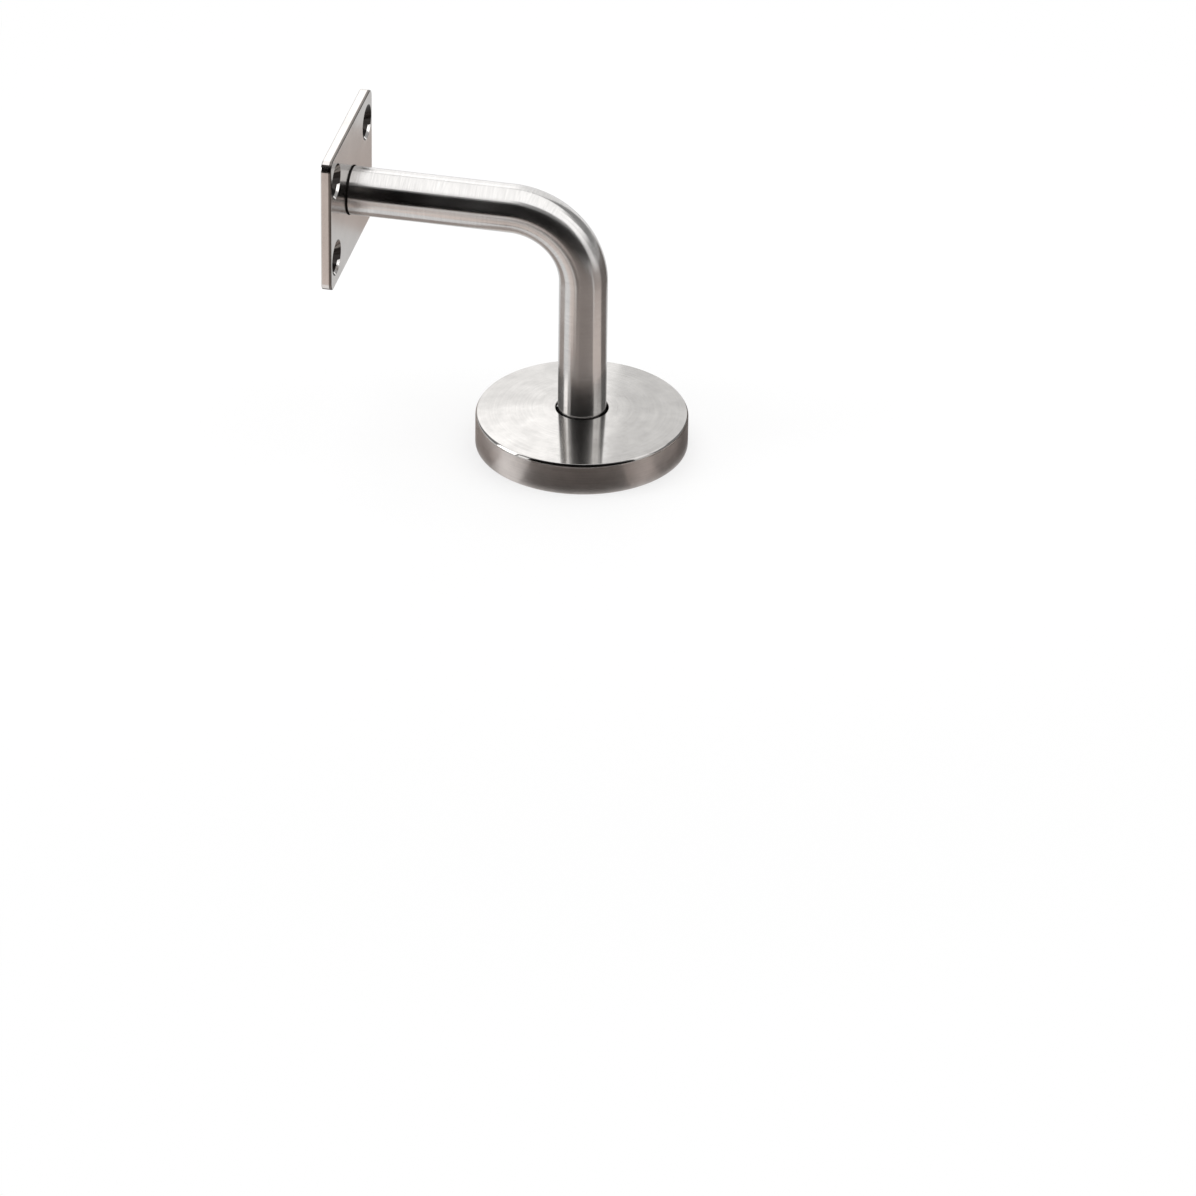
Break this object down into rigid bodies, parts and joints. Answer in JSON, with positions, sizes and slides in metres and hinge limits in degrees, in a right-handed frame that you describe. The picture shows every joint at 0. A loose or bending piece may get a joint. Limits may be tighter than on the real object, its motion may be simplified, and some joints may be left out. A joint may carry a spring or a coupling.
{
  "type": "handrail bracket",
  "caption": "Wall bracket for a handrail: a round bar with one bend stands on a wall flange hidden by a low turned cover, and ends in a flat saddle plate with countersunk holes.",
  "frame": {"origin": "centre of the wall flange's back face, on the wall", "axes": "+Z away from the wall along the bar's first leg, -X towards the saddle plate and the rail"},
  "size_m": [0.1161, 0.07, 0.1075],
  "materials": {
    "polished_bar": "fine ground and polished stainless steel, marks along the bar",
    "satin_plate": "satin polished stainless steel",
    "weld_metal": "ground weld metal, darker than the bar",
    "plain_flange": "plain mill finish stainless steel",
    "turned_cover": "turned and polished stainless steel, fine rings on the crown"
  },
  "bodies": {
    "bracket": {"bent_arm": "polished_bar", "saddle_plate": "satin_plate", "saddle_weld_bead": "weld_metal", "wall_flange": "plain_flange", "flange_weld_bead": "weld_metal"},
    "cover": {"cover_rose": "turned_cover"}
  },
  "joints": [
    {"name": "cover_slide", "type": "slide", "parent": "bracket", "child": "cover", "axis": [0, 0, 1], "range_m": [0, 0.046]}
  ]
}
